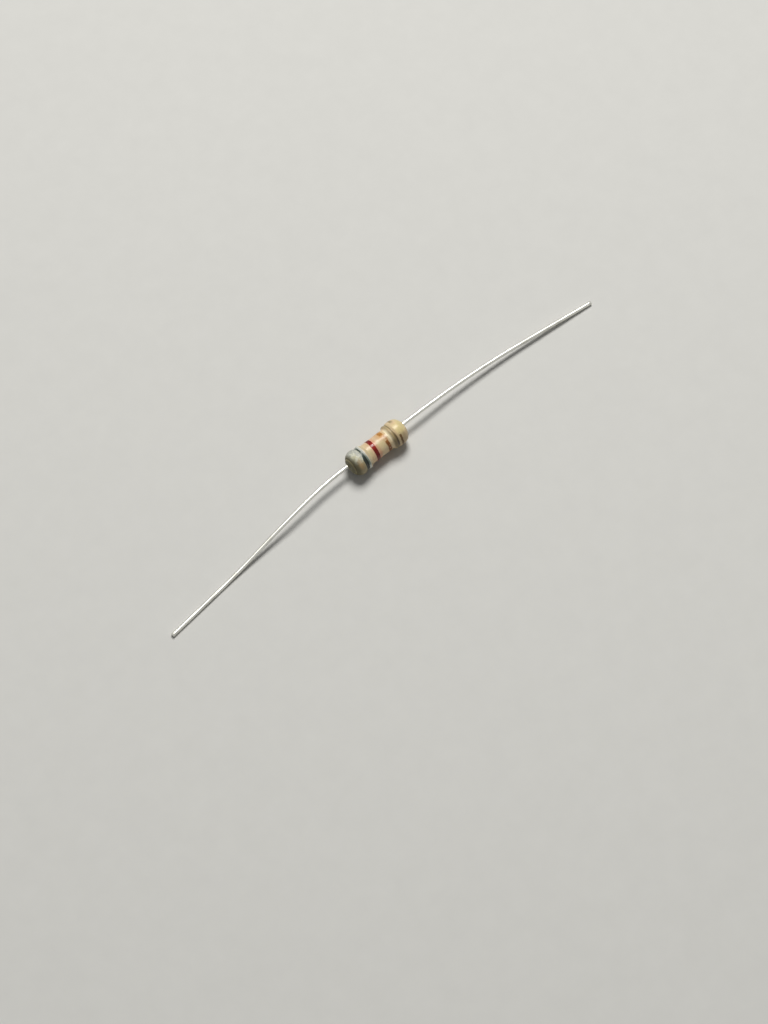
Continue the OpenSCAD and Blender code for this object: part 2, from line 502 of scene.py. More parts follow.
@dataclass(frozen=True)
class Finish:
    """A finish. Each kind overrides sockets, which fills the material's tree."""

    name: str

    def sockets(self, graph: Graph) -> dict[str, Any]:
        """Gives the values and links of the shader's sockets."""
        raise NotImplementedError

    def material(self) -> bpy.types.Material:
        """Makes the material."""
        made = bpy.data.materials.new(self.name)
        made.use_nodes = True
        made.node_tree.nodes.clear()
        graph = Graph(made.node_tree)
        surface = graph.take("ShaderNodeBsdfPrincipled", "BSDF", None, self.sockets(graph))
        graph.node("ShaderNodeOutputMaterial", None, {"Surface": self.covered(graph, surface)})
        return made

    def covered(self, graph: Graph, surface: Quantity) -> Quantity:
        """Gives the finished surface, which a kind may lay another shader over."""
        return surface

    @staticmethod
    def bump(graph: Graph, height: Quantity, depth: float) -> Quantity:
        """Makes a bump.

        Args:
            graph: The material's tree.
            height: The height, from 0 to 1.
            depth: How deep a height of 1 is, in millimetres.

        Returns:
            The normal.
        """
        inputs = {"Strength": 1.0, "Distance": depth * MM, "Height": height}
        return graph.take("ShaderNodeBump", "Normal", None, inputs)


@dataclass(frozen=True)
class StainAndPaintedLight:
    """A coloured patch of lacquer (a stain, a painted highlight, painted shade): its colour, its
    place along and round the body, its edges.
    """

    colour: Colour
    strength: float
    x: float
    half: float
    soft: float
    angle: float = 0.0
    sweep: float = 180.0
    blur: float = 30.0
    ragged: float = 0.08
    grain: float = 0.4

    @staticmethod
    def wander(at: Surface, grain: float = 0.4) -> Quantity:
        """Gives how far a patch's edge strays, from about -0.5 to 0.5."""
        return at.noise(grain, 3.0, 3.0) - 0.5

    def laid(self, at: Surface, colour: Quantity) -> Quantity:
        """Lays the patch over a colour.

        Args:
            at: The place on the body.
            colour: The colour without the patch.

        Returns:
            The colour with it.
        """
        sway = self.wander(at, self.grain) * 2.0
        mask = at.along(self.x, self.half, self.soft, sway * self.ragged)
        if self.sweep < 180:
            mask = mask * at.facing(self.angle, self.sweep, self.blur, sway * self.ragged)
        return at.graph.mixed(mask * self.strength, colour, self.colour)


@dataclass(frozen=True)
class LacquerLook:
    """The colours of the aged lacquer, which the paint's worn edges show too, with painted
    highlights and painted shade among its patches.
    """

    cream: Colour = tint(221, 193, 152)
    sand: Colour = tint(212, 194, 157)
    speck: Colour = tint(96, 72, 40)
    frost: Colour = tint(222, 222, 206)
    # Dark grime where the lacquer meets the leads, and painted shade in the groove of the left end
    # face.
    exit_grime_and_painted_shade: Colour = tint(84, 70, 38)
    # Painted highlight on the ridge round the left lead.
    ridge_highlight: Colour = tint(156, 146, 106)
    ridge_r: float = 1.0
    groove_r: float = 1.19
    left_face: tuple[float, float] = (-3.95, -3.75)
    exits: tuple[float, float] = (4.29, 4.42)
    waist: tuple[StainAndPaintedLight, ...] = (
        StainAndPaintedLight(tint(212, 150, 120), 0.75, x=-0.34, half=0.2, soft=0.3, ragged=0.14),
        StainAndPaintedLight(tint(216, 176, 142), 0.45, x=-1.12, half=0.14, soft=0.24, ragged=0.14),
        StainAndPaintedLight(tint(222, 184, 152), 0.5, x=0.1, half=0.5, soft=0.5, angle=48, sweep=22, ragged=0.3),
        StainAndPaintedLight(tint(204, 190, 142), 0.5, x=0.3, half=0.6, soft=0.5, angle=112, sweep=16, ragged=0.3),
        StainAndPaintedLight(tint(204, 192, 144), 0.5, x=-1.5, half=0.3, soft=0.3, angle=116, sweep=16, ragged=0.2),
        StainAndPaintedLight(tint(212, 166, 112), 0.6, x=0.62, half=0.3, soft=0.3, angle=60, sweep=36, blur=30),
        # Painted highlight: lighter lacquer on top of the right bead's fillet.
        StainAndPaintedLight(tint(252, 238, 202), 0.9, x=1.75, half=0.17, soft=0.16, angle=92, sweep=36),
        StainAndPaintedLight(tint(190, 134, 76), 0.3, x=1.06, half=0.3, soft=0.3, ragged=0.2),
        StainAndPaintedLight(tint(214, 154, 88), 0.7, x=0.98, half=0.28, soft=0.3, angle=76, sweep=11, blur=20,
              ragged=0.16),
        StainAndPaintedLight(tint(186, 132, 84), 0.75, x=1.22, half=0.12, soft=0.16, angle=99, sweep=14, blur=16),
        StainAndPaintedLight(tint(176, 170, 144), 0.6, x=-1.88, half=0.16, soft=0.2),
    )
    right_end: tuple[StainAndPaintedLight, ...] = (
        StainAndPaintedLight(tint(150, 134, 92), 0.5, x=2.17, half=0.24, soft=0.2, ragged=0.06),
        # Painted shade: a dark line along the crease between the right bead and dome.
        StainAndPaintedLight(tint(78, 62, 34), 0.8, x=2.29, half=0.045, soft=0.07, angle=95, sweep=80,
              blur=40, ragged=0.03),
        # Painted shade: the crease dark and wide on the front.
        StainAndPaintedLight(tint(60, 38, 10), 0.9, x=2.26, half=0.16, soft=0.14, angle=146, sweep=34),
        # Painted shade: darker lacquer on the front beside the right bead.
        StainAndPaintedLight(tint(84, 68, 36), 0.65, x=2.0, half=0.22, soft=0.24, angle=156, sweep=28),
        StainAndPaintedLight(tint(128, 120, 84), 0.4, x=2.14, half=0.24, soft=0.24, angle=36, sweep=28),
        StainAndPaintedLight(tint(140, 124, 84), 0.4, x=2.1, half=0.24, soft=0.24, angle=114, sweep=22),
        StainAndPaintedLight(tint(146, 124, 84), 0.55, x=3.34, half=0.16, soft=0.3, angle=132, sweep=14, blur=20),
        StainAndPaintedLight(tint(134, 108, 62), 0.55, x=3.36, half=0.12, soft=0.22, angle=113, sweep=7, blur=14),
        # Yellow tone of the right dome, brightened on top as a painted highlight.
        StainAndPaintedLight(tint(228, 210, 150), 0.8, x=3.25, half=0.6, soft=0.5, angle=104, sweep=22, ragged=0.2),
        StainAndPaintedLight(tint(206, 192, 142), 0.75, x=3.95, half=0.5, soft=0.4, angle=60, sweep=56, ragged=0.2),
        StainAndPaintedLight(tint(146, 132, 104), 0.65, x=3.08, half=0.2, soft=0.24, angle=36, sweep=24, blur=20),
        # Painted shade: the right dome darker on its front and underside.
        StainAndPaintedLight(tint(166, 148, 114), 0.6, x=3.5, half=1.0, soft=0.4, angle=168, sweep=42, ragged=0.2),
    )
    left_end: tuple[StainAndPaintedLight, ...] = (
        StainAndPaintedLight(tint(146, 136, 104), 0.88, x=-3.5, half=1.06, soft=0.16, ragged=0.04),
        StainAndPaintedLight(tint(180, 182, 174), 0.95, x=-3.28, half=0.77, soft=0.3, angle=68, sweep=48,
              ragged=0.25, grain=0.35),
        StainAndPaintedLight(tint(146, 149, 142), 0.6, x=-2.98, half=0.24, soft=0.3, angle=38, sweep=24,
              ragged=0.2),
        StainAndPaintedLight(tint(202, 198, 162), 0.75, x=-3.52, half=0.36, soft=0.3, angle=90, sweep=18, blur=24,
              ragged=0.2, grain=0.3),
        StainAndPaintedLight(tint(206, 202, 172), 0.8, x=-3.14, half=0.3, soft=0.3, angle=108, sweep=11, blur=18,
              ragged=0.2, grain=0.3),
        StainAndPaintedLight(tint(176, 148, 106), 0.8, x=-3.4, half=0.26, soft=0.26, angle=131, sweep=18,
              ragged=0.14),
        StainAndPaintedLight(tint(112, 108, 82), 0.85, x=-4.4, half=0.58, soft=0.36, ragged=0.16),
        # Painted shade: the left end darker on its front and underside.
        StainAndPaintedLight(tint(84, 79, 50), 0.6, x=-4.3, half=0.7, soft=0.4, angle=150, sweep=58, ragged=0.2),
        StainAndPaintedLight(tint(222, 224, 216), 0.94, x=-2.23, half=0.13, soft=0.09, ragged=0.06, grain=0.3),
        StainAndPaintedLight(tint(216, 218, 210), 0.9, x=-2.12, half=0.12, soft=0.1, angle=30, sweep=16, blur=24),
        StainAndPaintedLight(tint(92, 120, 100), 0.75, x=-2.26, half=0.1, soft=0.14, angle=137, sweep=22),
    )

    def colour(self, at: Surface) -> Quantity:
        """Builds the lacquer's colour.

        Args:
            at: The place on the body.

        Returns:
            The colour.
        """
        graph = at.graph
        colour = graph.mixed(at.noise(*TONE).over(0.35, 0.65) * 0.8, self.cream, self.sand)
        # Stains, with painted highlights and painted shade among them.
        for stain in (*self.waist, *self.right_end, *self.left_end):
            colour = stain.laid(at, colour)
        colour = self._frosted(at, colour)
        face = 1.0 - at.x.over(*self.left_face)
        strayed = at.radius + StainAndPaintedLight.wander(at) * 0.16
        # Painted highlight: a lighter ring on the ridge of the left end face.
        ridge_highlight = 1.0 - abs(strayed - self.ridge_r).over(0.02, 0.14)
        colour = graph.mixed(ridge_highlight * face * 0.6, colour, self.ridge_highlight)
        # Painted shade in the groove, and grime at the lead exits.
        groove_shade = 1.0 - abs(strayed - self.groove_r).over(0.03, 0.1)
        exits = abs(at.x).over(*self.exits) * 0.6
        colour = graph.mixed(exits.most(groove_shade * face) * 0.7, colour, self.exit_grime_and_painted_shade)
        specks = at.noise(*SPECKS).over(0.76, 0.84) * at.noise(*SPECK_CLOUDS).over(0.42, 0.58)
        colour = graph.mixed(specks * 0.7, colour, self.speck)
        return graph.scaled(colour, at.noise(*MOTTLE) * 0.26 + 0.87)

    def _frosted(self, at: Surface, colour: Quantity) -> Quantity:
        """Lays chalky specks on top of the left dome."""
        specks = at.noise(*CHALK).over(0.45, 0.62)
        top = at.along(middle=-3.2, half=0.5, soft=0.4) * at.facing(angle=84, half=28, soft=36)
        return at.graph.mixed(specks * top * 0.8, colour, self.frost)


@dataclass(frozen=True)
class LacquerFinish(Finish):
    """Aged semi-gloss lacquer with smears, dirt, painted highlights and painted shade, and a fine
    orange peel.
    """

    axis_z: float = 0.0
    smears_end: tuple[float, float] = (-2.7, -2.4)
    look: LacquerLook = LacquerLook()

    def sockets(self, graph: Graph) -> dict[str, Any]:
        """Gives the values and links of the shader's sockets."""
        at = Surface(graph, self.axis_z)
        smeared = 1.0 - at.x.over(*self.smears_end)
        peel = at.noise(*PEEL) + at.noise(*GRIT) * (smeared * 0.6 + 0.15)
        return {
            "Base Color": self.look.colour(at),
            "Roughness": at.noise(*MOTTLE) * 0.2 + 0.22 + smeared * 0.2,
            "Normal": self.bump(graph, peel, depth=0.02),
            "IOR": 1.52, "Specular IOR Level": 0.35,
        }


@dataclass(frozen=True)
class PaintFinish(Finish):
    """Printed paint that thins out over the lacquer at its worn edges, lighter on top as a painted
    highlight and darker in front as painted shade.
    """

    axis_z: float = 0.0
    body: Colour = tint(120, 30, 20)
    light: Colour = tint(150, 60, 45)
    # Painted highlight: the paint's colour on top.
    top: Colour = tint(160, 60, 45)
    # Painted shade: the paint's colour in front.
    front: Colour = tint(120, 30, 20)
    cover: float = 1.0
    rough: float = 0.3
    grain: float = 0.25
    look: LacquerLook = LacquerLook()

    def sockets(self, graph: Graph) -> dict[str, Any]:
        """Gives the values and links of the shader's sockets."""
        at = Surface(graph, self.axis_z)
        thick = graph.take("ShaderNodeAttribute", "Fac", {"attribute_name": "cover"})
        mottle = at.noise(self.grain, 11.0, 3.0)
        paint = graph.mixed(mottle.over(0.35, 0.7), self.body, self.light)
        sway = (mottle - 0.5) * 0.5
        # Painted highlight on top.
        highlight_on_top = at.facing(angle=93, half=14, soft=26, sway=sway)
        # Painted shade in front.
        shade_in_front = at.facing(angle=160, half=46, soft=40, sway=sway)
        paint = graph.mixed(highlight_on_top * 0.8, paint, self.top)
        paint = graph.mixed(shade_in_front, paint, self.front)
        share = (thick + (mottle - 0.5) * 0.4 * (1.0 - thick)).over(0.1, 0.8) * self.cover
        return {
            "Base Color": graph.mixed(share, self.look.colour(at), paint),
            "Roughness": mottle * 0.14 + (self.rough - 0.07),
            "Normal": self.bump(graph, at.noise(*PEEL), depth=0.014),
            "IOR": 1.5, "Specular IOR Level": 0.3,
        }


@dataclass(frozen=True)
class WireFinish(Finish):
    """Bright tinned wire with fine drawing streaks and a few dull patches."""

    bright: Colour = tint(222, 221, 214)
    dull: Colour = tint(172, 170, 161)
    stretch: float = 0.02
    wire: Wire = Wire()

    def sockets(self, graph: Graph) -> dict[str, Any]:
        """Gives the values and links of the shader's sockets."""
        along = graph.take("ShaderNodeAttribute", "Fac", {"attribute_name": "along"})
        around = graph.take("ShaderNodeAttribute", "Fac", {"attribute_name": "around"})
        turn = around * math.tau
        sine, cosine = graph.maths("SINE", turn), graph.maths("COSINE", turn)
        ring = graph.joined(along * (self.stretch / MM), sine, cosine)
        radius = self.wire.radius
        skin = graph.joined(along / MM, sine * radius, cosine * radius)
        streaks = graph.noise(ring, grain=0.4, seed=1.0)
        worn = graph.noise(skin, grain=1.6, seed=2.0, detail=3.0).over(0.5, 0.75)
        return {
            "Base Color": graph.mixed(worn * 0.5 + streaks * 0.25, self.bright, self.dull),
            "Roughness": streaks * 0.1 + worn * 0.12 + 0.31,
            "Normal": self.bump(graph, streaks, depth=0.003),
            "Metallic": 1.0,
        }


@dataclass(frozen=True)
class PlainFinish(Finish):
    """A finish of two mottled colours, for the sealed pieces and the floor."""

    body: Colour = tint(128, 128, 128)
    light: Colour = tint(160, 160, 160)
    grain: float = 0.3
    rough: float = 0.5
    metal: float = 0.0
    depth: float = 0.004

    def sockets(self, graph: Graph) -> dict[str, Any]:
        """Gives the values and links of the shader's sockets."""
        mottle = Surface(graph, 0.0).noise(self.grain, 1.0, 3.0)
        return {
            "Base Color": graph.mixed(mottle, self.body, self.light),
            "Roughness": mottle * 0.1 + (self.rough - 0.05),
            "Normal": self.bump(graph, mottle, self.depth),
            "Metallic": self.metal,
        }


@dataclass(frozen=True)
class FloorFinish(PlainFinish):
    """The pale floor, which turns into the backdrop far from the part, for the camera alone."""

    near: float = 120.0
    far: float = 450.0
    backdrop: float = 0.62

    def covered(self, graph: Graph, surface: Quantity) -> Quantity:
        """Lays the backdrop's glow over the far floor."""
        place = graph.take("ShaderNodeTexCoord", "Object")
        seen = graph.take("ShaderNodeLightPath", "Is Camera Ray")
        share = (graph.vector("LENGTH", place) / MM).over(self.near, self.far) * seen
        glow = graph.take("ShaderNodeEmission", "Emission", None,
                          {"Color": BACKDROP, "Strength": self.backdrop})
        return graph.take("ShaderNodeMixShader", "Shader", None, {0: share, 1: surface, 2: glow})


# ---- the lacquered body ----


class Side(Enum):
    """An end of the body, by its direction along X."""

    LEFT = -1
    RIGHT = 1


@dataclass(frozen=True)
class Dome:
    """One end of the lacquer: its dome, and the valley between the dome and the rim's bead."""

    side: Side
    crown: float
    shoulder: float
    valley_r: float


@dataclass(frozen=True)
class Dip:
    """A shallow hollow ring in the lacquer, pressed in from its outline."""

    x: float
    r: float
    depth: float
    width: float

    def at(self, x: float, r: float) -> float:
        """Gives the hollow's depth at a point of the outline."""
        return self.depth * math.exp(-((x - self.x) ** 2 + (r - self.r) ** 2) / self.width ** 2)


@dataclass
class LacquerCoat:
    """The lacquer shell: two domes, two rim beads and a waist, turned about the axis."""

    solids: Solids
    waist_r: float = 1.375
    end_round: float = 1.15
    bead_round: float = 0.28
    bead_rise: float = 0.275
    bead_fillet: float = 0.3
    meniscus: float = 0.18
    bite: float = 0.01
    cap_r: float = 1.45
    cap_round: float = 0.5
    flare_len: float = 0.2
    wire: Wire = Wire()
    centred: float = 0.5
    lumps: float = 0.05
    ripples: float = 0.014
    spacing: float = 0.045
    steps: int = 600
    turn_steps: int = 48
    corner_steps: int = 8
    sides: int = 192
    left: Dome = Dome(Side.LEFT, crown=0.05, shoulder=0.8, valley_r=1.5)
    right: Dome = Dome(Side.RIGHT, crown=0.49, shoulder=0.3, valley_r=1.63)
    dips: tuple[Dip, ...] = (
        Dip(x=-4.28, r=0.8, depth=0.02, width=0.08),
        Dip(x=-4.12, r=1.19, depth=0.05, width=0.07),
        Dip(x=2.29, r=1.64, depth=0.05, width=0.055),
        Dip(x=4.3, r=0.55, depth=0.02, width=0.08),
    )

    def __post_init__(self) -> None:
        """Works out the places that several methods use."""
        self.dome_r = self.solids.axis_z
        self.arc_at = self.solids.half - self.end_round
        self.bead_at = self.waist_r + self.bead_rise - self.bead_round
        reach = self.bead_fillet + self.bead_round
        drop = self.waist_r + self.bead_fillet - self.bead_at
        back = math.sqrt(reach ** 2 - drop ** 2)
        self.fillet_at = self.solids.rim - back
        self.fillet_end = self.fillet_at + back * self.bead_fillet / reach

    def _radius(self, place: float, dome: Dome) -> float:
        """Gives the lacquer's radius between the middle and the end's rounding.

        Args:
            place: The distance from the body's middle.
            dome: The end on that side.

        Returns:
            The radius of the form that stands highest there.
        """
        rim = self.solids.rim
        dome_at = self.arc_at - dome.crown
        radii = [0.0]
        if place <= rim:
            radii.append(self.waist_r)
        if self.fillet_at < place <= self.fillet_end:
            sink = math.sqrt(self.bead_fillet ** 2 - (place - self.fillet_at) ** 2)
            radii.append(self.waist_r + self.bead_fillet - sink)
        if abs(place - rim) < self.bead_round:
            radii.append(self.bead_at + math.sqrt(self.bead_round ** 2 - (place - rim) ** 2))
        if rim < place <= dome_at:
            radii.append(dome.valley_r)
        if abs(place - dome_at) < dome.shoulder:
            rise = math.sqrt(dome.shoulder ** 2 - (place - dome_at) ** 2)
            radii.append(self.dome_r - dome.shoulder + rise)
        if place >= dome_at:
            radii.append(self.dome_r)
        return max(radii)

    def _half_outline(self, dome: Dome) -> list[Point]:
        """Draws the outline of one end from the body's middle out to its wire.

        Args:
            dome: The end.

        Returns:
            Points of place along the axis and radius.
        """
        places = [self.arc_at * i / self.steps for i in range(self.steps + 1)]
        points = [(place, self._radius(place, dome)) for place in places]
        turns = quarter_turn(self.turn_steps)
        centre_r = self.dome_r - self.end_round
        points += [(self.arc_at + self.end_round * math.sin(turn),
                    centre_r + self.end_round * math.cos(turn)) for turn in turns[1:]]
        foot = self.wire.radius + self.meniscus
        points += [(self.solids.half + self.meniscus * (1 - math.cos(turn)),
                    foot - (self.meniscus + self.bite) * math.sin(turn)) for turn in turns]
        return [(dome.side.value * x, r) for x, r in points]

    @staticmethod
    def _spaced(points: Sequence[Point], spacing: float) -> list[Point]:
        """Spaces an outline's points evenly.

        Args:
            points: The points as drawn.
            spacing: The distance wanted between two points.

        Returns:
            The new points, from the same first one to the same last one.
        """
        reach = [0.0]
        for (x0, r0), (x1, r1) in zip(points, points[1:]):
            reach.append(reach[-1] + math.hypot(x1 - x0, r1 - r0))
        count = round(reach[-1] / spacing)
        spaced, k = [], 0
        for i in range(count + 1):
            want = reach[-1] * i / count
            while k < len(reach) - 2 and reach[k + 1] < want:
                k += 1
            share = min((want - reach[k]) / max(reach[k + 1] - reach[k], 1e-9), 1.0)
            spaced.append(tuple(a + (b - a) * share for a, b in zip(points[k], points[k + 1])))
        return spaced

    def _eased(self, points: Sequence[Point]) -> list[Point]:
        """Softens an outline's corners, and presses the dips in.

        Args:
            points: Evenly spaced points.

        Returns:
            The points, with both ends where they were.
        """
        eased = [points[0]]
        for before, here, after in zip(points, points[1:], points[2:]):
            x, r = ((a + 2 * b + c) / 4 for a, b, c in zip(before, here, after))
            along_x, along_r = after[0] - before[0], after[1] - before[1]
            length = math.hypot(along_x, along_r)
            depth = sum(dip.at(x, r) for dip in self.dips)
            eased.append((x - depth * along_r / length, r + depth * along_x / length))
        return [*eased, points[-1]]

    def outer_outline(self) -> list[Point]:
        """Gives the outside's outline, from the right lead to the left one."""
        right, left = self._half_outline(self.right), self._half_outline(self.left)
        return self._eased(self._spaced([*reversed(right), *left[1:]], self.spacing))

    def cavity_outline(self) -> list[Point]:
        """Gives the cavity's outline round wire, weld and cap, from the left end to the right."""
        solids = self.solids
        end = solids.cap_end
        corner = [(end - self.cap_round * (1 - math.cos(turn)),
                   self.cap_r - self.cap_round * (1 - math.sin(turn)))
                  for turn in quarter_turn(self.corner_steps)]
        right = [
            (solids.rim, solids.film_r), (solids.rim, solids.flare_r),
            (solids.rim + self.flare_len / 2, solids.flare_r),
            (solids.rim + self.flare_len, self.cap_r), *reversed(corner),
            (end, self.wire.weld_r), (end + self.wire.weld_len, self.wire.radius),
        ]
        return [*((-x, r) for x, r in reversed(right)), *right]

    def _aside(self, x: float, r: float) -> float:
        """Gives how far beside the body's axis a ring of the surface is centred.

        Args:
            x: The ring's place along the axis.
            r: The ring's radius.

        Returns:
            The whole offset of the leads close to a lead, and 0 far from it.
        """
        if abs(x) < self.solids.cap_end - WELD or abs(x) < self.arc_at:
            return 0.0
        near, far = self.wire.radius + self.meniscus, self.dome_r - self.centred
        share = min(max((far - r) / (far - near), 0.0), 1.0)
        return self.wire.off * share * share * (3 - 2 * share)

    def base(self) -> bpy.types.Mesh:
        """Makes the closed outline as points, each with its share of the surface's unevenness."""
        outer = self.outer_outline()
        cavity = self.cavity_outline()
        points = [*outer, *cavity, outer[0]]
        free = self.meniscus / 2
        uneven = [min(max((r - self.wire.radius) / free, 0.0), 1.0) for _, r in outer]
        uneven += [0.0] * (len(cavity) + 1)
        mesh = bpy.data.meshes.new("lacquer_outline")
        mesh.from_pydata([(x * MM, self._aside(x, r) * MM, r * MM) for x, r in points], [], [])
        marked(mesh, "uneven", uneven)
        return mesh

    @staticmethod
    def former() -> Former:
        """Builds the tree that turns an outline about the axis and makes its skin uneven."""
        tree = Former("turned_lacquer")
        rows, sides = tree.asks("Outline Points", "Int"), tree.asks("Sides", "Int")
        inputs = {"Size X": rows - 1.0, "Size Y": math.tau, "Vertices X": rows, "Vertices Y": sides}
        grid = tree.take("GeometryNodeMeshGrid", "Mesh", None, inputs)
        u, turn, _ = tree.parts(tree.take("GeometryNodeInputPosition", 0))
        row = tree.maths("ROUND", u + (rows - 1.0) / 2.0)
        outline = {"Geometry": tree.base, "Index": row}
        here = tree.take("GeometryNodeInputPosition", 0)
        drawn = tree.take("GeometryNodeSampleIndex", 0, {"data_type": "FLOAT_VECTOR"},
                          {**outline, "Value": here})
        x, aside, r = tree.parts(drawn)
        share = tree.take("GeometryNodeSampleIndex", 0, {"data_type": "FLOAT"},
                          {**outline, "Value": tree.named("uneven")})
        place = tree.joined(x, r * tree.maths("COSINE", turn) + aside,
                            r * tree.maths("SINE", turn) + tree["Axis Height"])
        kept = tree.keep(grid, "uneven", share)
        turned = tree.step("GeometryNodeSetPosition", kept, None, {"Position": place})
        at = tree.scaled(here, 1 / MM)
        lump = tree.noise(at, grain=1.3, seed=21.0, detail=1.0) * tree["Lump Depth"]
        ripple = tree.noise(at, grain=0.4, seed=22.0, detail=1.0) * tree["Ripple Depth"]
        pressed = -((lump + ripple) * tree.named("uneven"))
        normal = tree.take("GeometryNodeInputNormal", 0)
        offset = tree.scaled(normal, pressed)
        closed = tree.welded(turned, WELD)
        tree.close(tree.step("GeometryNodeSetPosition", closed, None, {"Offset": offset}))
        return tree

    def build(self, material: bpy.types.Material) -> bpy.types.Object:
        """Forms the lacquer as one closed shell."""
        base = self.base()
        values = {
            "Outline Points": len(base.vertices), "Sides": self.sides + 1,
            "Axis Height": self.solids.axis_z * MM, "Lump Depth": self.lumps * MM,
            "Ripple Depth": self.ripples * MM, "Material": material,
        }
        return self.former().form("lacquer_coat", base, values)


# ---- the colour rings ----


@dataclass(frozen=True)
class PaintRing:
    """A ring of paint on the lacquer, and where it has worn away.

    It is missing over the gap, apart from a streak on its right edge, and over the rub below,
    where the body lies on its dome. A gap or a rub of NOWHERE takes nothing away.
    """

    node: str
    name: str
    middle: float
    width: float
    finish: PaintFinish
    slot: str
    lean: float = 0.0
    thin_at: float = 0.0
    thin_sweep: float = 0.0
    thin: float = 0.0
    gap_at: float = 90.0
    gap: float = NOWHERE
    streak: float = 0.0
    rub: float = NOWHERE
    ragged: float = 0.05
    ragged_grain: float = 0.25
    fade: float = 0.06
    wear: float = -1.0
    seed: float = 1.0


@dataclass
class ColourRings:
    """The four rings, laid on the lacquer's own surface.

    A ring's sheet ends where its paint has been gone for the distance bared. It is cleaned in a
    few passes, and islands with fewer points than flake are dropped.
    """

    solids: Solids
    coat: bpy.types.Object
    rings: Sequence[PaintRing]
    thickness: float = 0.016
    sink: float = 0.006
    cell: float = 0.03
    margin: float = 0.1
    reach: float = 2.2
    mean_radius: float = 0.82
    thin_blur: ClassVar[float] = 20.0
    bared: ClassVar[float] = 0.03
    passes: ClassVar[int] = 4
    flake: ClassVar[float] = 40.0

    @staticmethod
    def former() -> Former:
        """Builds the tree that lays a ring of paint on a surface and wears its edges."""
        tree = Former("worn_paint_ring")
        coat = tree.asks("Lacquer", "Object")
        rows, columns = tree.asks("Rows", "Int"), tree.asks("Columns", "Int")
        grid = tree.take("GeometryNodeMeshGrid", "Mesh", None, {
            "Size X": tree["Sheet Width"], "Size Y": math.tau, "Vertices X": rows,
            "Vertices Y": columns})
        u, v, _ = tree.parts(tree.take("GeometryNodeInputPosition", 0))
        turn = -v
        x = u + tree["Middle"] + tree["Lean"] * tree.maths("COSINE", turn)
        outward = tree.joined(0.0, tree.maths("COSINE", turn), tree.maths("SINE", turn))
        axis = tree.joined(x, 0.0, tree["Axis Height"])
        start = tree.vector("ADD", axis, tree.scaled(outward, tree["Reach"]))
        target = tree.take("GeometryNodeObjectInfo", "Geometry", {"transform_space": "RELATIVE"},
                           {"Object": coat})
        hit, normal = tree.takes("GeometryNodeRaycast", ("Hit Position", "Hit Normal"), None, {
            "Target Geometry": target, "Source Position": start,
            "Ray Direction": tree.scaled(outward, -1.0), "Ray Length": tree["Reach"]})
        at = tree.scaled(hit, 1 / MM)
        left = ColourRings._left(tree, at, u, turn * (180 / math.pi))
        cover = left.over(0.0, tree["Fade"])
        sink = tree["Sink"]
        over = tree.scaled(normal, (tree["Thickness"] + sink) * cover - sink)
        sheet = tree.keep(grid, "cover", cover)
        sheet = tree.keep(sheet, "top", tree.vector("ADD", hit, over), "FLOAT_VECTOR")
        sheet = tree.keep(sheet, "left", left)
        under = tree.vector("ADD", hit, tree.scaled(normal, sink * -2.0))
        laid = tree.step("GeometryNodeSetPosition", sheet, None, {"Position": under})
        gone = tree.maths("LESS_THAN", tree.named("left"), -ColourRings.bared * MM)
        laid = ColourRings._cleaned(tree, tree.welded(tree.without(laid, gone), SEAM))
        raised, top = tree.takes("GeometryNodeExtrudeMesh", ("Mesh", "Top"), {"mode": "FACES"}, {
            "Mesh": laid, "Offset Scale": 0.0, "Individual": False})
        lifted = tree.step("GeometryNodeSetPosition", raised, None, {
            "Selection": top, "Position": tree.named("top", "FLOAT_VECTOR")})
        under_side = tree.step("GeometryNodeFlipFaces", laid)
        both = tree.node("GeometryNodeJoinGeometry")
        for part in (lifted, under_side):
            tree.tree.links.new(part.socket, both.inputs[0])
        shell = tree.welded(Quantity(tree, both.outputs[0]), WELD)
        for name in ("top", "left"):
            shell = tree.step("GeometryNodeRemoveAttribute", shell, None, {"Name": name})
        tree.close(shell)
        return tree

    @staticmethod
    def _left(tree: Former, at: Quantity, u: Quantity, degrees: Quantity) -> Quantity:
        """Measures how far inside the paint that is left a point of the sheet lies.

        Args:
            tree: The tree.
            at: The point on the lacquer, in millimetres.
            u: Its distance from the ring's middle line.
            degrees: Its angle round the body.

        Returns:
            The distance in metres, below 0 where the paint is gone.
        """
        arc = tree["Radius"] * (math.pi / 180)
        off_gap, off_rub, off_thin = (abs(tree.maths("WRAP", degrees - middle, 180.0, -180.0))
                                      for middle in (tree["Gap At"], UNDERSIDE, tree["Thin At"]))
        off_gap, off_rub = (off_gap - tree["Gap"] / 2.0) * arc, (off_rub - tree["Rub"] / 2.0) * arc
        thin_to, blur = tree["Thin Sweep"], ColourRings.thin_blur
        thinner = 1.0 - off_thin.over(thin_to - blur, thin_to + blur)
        width, streak = tree["Ring Width"], tree["Streak"]
        inside = (width / 2.0 - u).least(u + width / 2.0 - tree["Thin"] * thinner)
        in_streak = streak / 2.0 - abs(u - (width - streak) / 2.0)
        left = inside.least(off_gap.most(in_streak)).least(off_rub)
        ragged = tree.noise(at, tree["Ragged Grain"], tree["Seed"], detail=3.0) - 0.5
        chips = tree.noise(at, grain=0.35, seed=31.0, detail=3.0)
        return (left + ragged * tree["Ragged"]).least((chips - tree["Wear"]) * MM)

